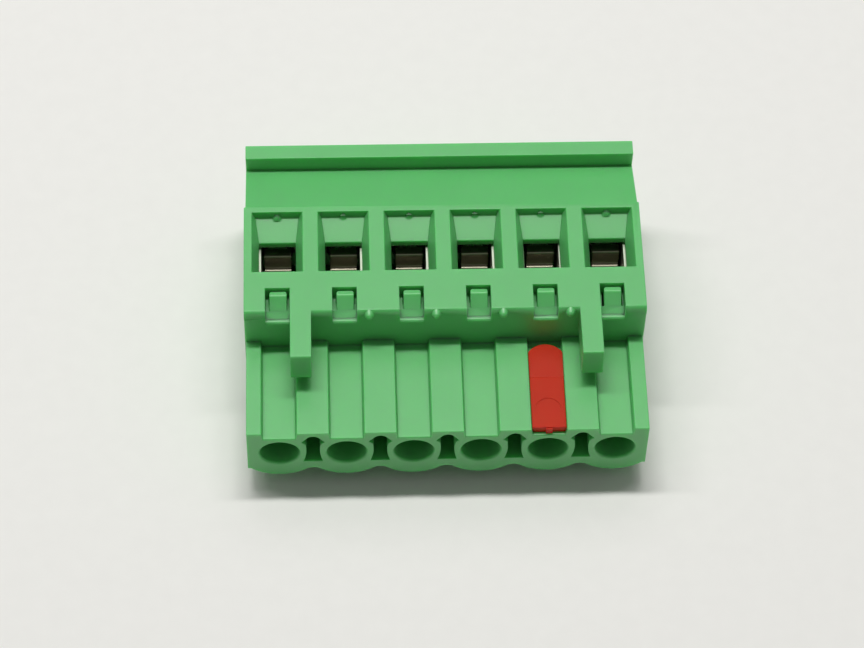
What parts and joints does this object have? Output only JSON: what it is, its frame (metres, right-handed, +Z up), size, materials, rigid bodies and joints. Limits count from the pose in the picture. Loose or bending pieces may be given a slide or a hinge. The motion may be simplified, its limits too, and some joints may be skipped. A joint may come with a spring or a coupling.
{
  "type": "pluggable terminal block",
  "caption": "Pluggable screw terminal block with round sockets in its nose, wire funnels on top, screw clamps worked from behind and a red coding tab.",
  "frame": {"origin": "middle of the base at the height of the surface that it lies on", "axes": "+X along the row of poles, +Y from the nose to the screw side, +Z up out of the wire entries"},
  "size_m": [0.0304, 0.0242, 0.011],
  "materials": {
    "green_plastic": "fine satin moulded polyamide",
    "red_plastic": "satin moulded polyamide",
    "plated_steel": "nickel plated",
    "screw_steel": "zinc plated",
    "tinned_metal": "tin plated copper alloy"
  },
  "bodies": {
    "housing": {"body_housing": "green_plastic", "contact_carrier": "green_plastic", "contact_1": "tinned_metal", "contact_2": "tinned_metal", "contact_3": "tinned_metal", "contact_4": "tinned_metal", "contact_5": "tinned_metal", "contact_6": "tinned_metal"},
    "screw_1": {"clamp_screw_1": "screw_steel"},
    "sleeve_1": {"clamp_sleeve_1": "plated_steel"},
    "screw_2": {"clamp_screw_2": "screw_steel"},
    "sleeve_2": {"clamp_sleeve_2": "plated_steel"},
    "screw_3": {"clamp_screw_3": "screw_steel"},
    "sleeve_3": {"clamp_sleeve_3": "plated_steel"},
    "screw_4": {"clamp_screw_4": "screw_steel"},
    "sleeve_4": {"clamp_sleeve_4": "plated_steel"},
    "screw_5": {"clamp_screw_5": "screw_steel"},
    "sleeve_5": {"clamp_sleeve_5": "plated_steel"},
    "screw_6": {"clamp_screw_6": "screw_steel"},
    "sleeve_6": {"clamp_sleeve_6": "plated_steel"},
    "coding_tab": {"coding_tab": "red_plastic"}
  },
  "joints": [
    {"name": "screw_1_turn", "type": "hinge", "parent": "housing", "child": "screw_1", "pos_m": [-0.0127, 0.00826, 0.0068], "axis": [0, -1, 0], "range_deg": [0, 1760]},
    {"name": "sleeve_1_slide", "type": "slide", "parent": "housing", "child": "sleeve_1", "axis": [0, 1, 0], "range_m": [0, 0.0022]},
    {"name": "screw_2_turn", "type": "hinge", "parent": "housing", "child": "screw_2", "pos_m": [-0.00762, 0.00826, 0.0068], "axis": [0, -1, 0], "range_deg": [0, 1760]},
    {"name": "sleeve_2_slide", "type": "slide", "parent": "housing", "child": "sleeve_2", "axis": [0, 1, 0], "range_m": [0, 0.0022]},
    {"name": "screw_3_turn", "type": "hinge", "parent": "housing", "child": "screw_3", "pos_m": [-0.00254, 0.00826, 0.0068], "axis": [0, -1, 0], "range_deg": [0, 1760]},
    {"name": "sleeve_3_slide", "type": "slide", "parent": "housing", "child": "sleeve_3", "axis": [0, 1, 0], "range_m": [0, 0.0022]},
    {"name": "screw_4_turn", "type": "hinge", "parent": "housing", "child": "screw_4", "pos_m": [0.00254, 0.00826, 0.0068], "axis": [0, -1, 0], "range_deg": [0, 1760]},
    {"name": "sleeve_4_slide", "type": "slide", "parent": "housing", "child": "sleeve_4", "axis": [0, 1, 0], "range_m": [0, 0.0022]},
    {"name": "screw_5_turn", "type": "hinge", "parent": "housing", "child": "screw_5", "pos_m": [0.00762, 0.00826, 0.0068], "axis": [0, -1, 0], "range_deg": [0, 1760]},
    {"name": "sleeve_5_slide", "type": "slide", "parent": "housing", "child": "sleeve_5", "axis": [0, 1, 0], "range_m": [0, 0.0022]},
    {"name": "screw_6_turn", "type": "hinge", "parent": "housing", "child": "screw_6", "pos_m": [0.0127, 0.00826, 0.0068], "axis": [0, -1, 0], "range_deg": [0, 1760]},
    {"name": "sleeve_6_slide", "type": "slide", "parent": "housing", "child": "sleeve_6", "axis": [0, 1, 0], "range_m": [0, 0.0022]},
    {"name": "coding_tab_slide", "type": "slide", "parent": "housing", "child": "coding_tab", "axis": [0, -1, 0], "range_m": [0, 0.0074]}
  ],
  "couplings": [
    {"joint": "screw_1_turn", "follows": "sleeve_1_slide", "rad_per_m": 13963},
    {"joint": "screw_2_turn", "follows": "sleeve_2_slide", "rad_per_m": 13963},
    {"joint": "screw_3_turn", "follows": "sleeve_3_slide", "rad_per_m": 13963},
    {"joint": "screw_4_turn", "follows": "sleeve_4_slide", "rad_per_m": 13963},
    {"joint": "screw_5_turn", "follows": "sleeve_5_slide", "rad_per_m": 13963},
    {"joint": "screw_6_turn", "follows": "sleeve_6_slide", "rad_per_m": 13963}
  ]
}
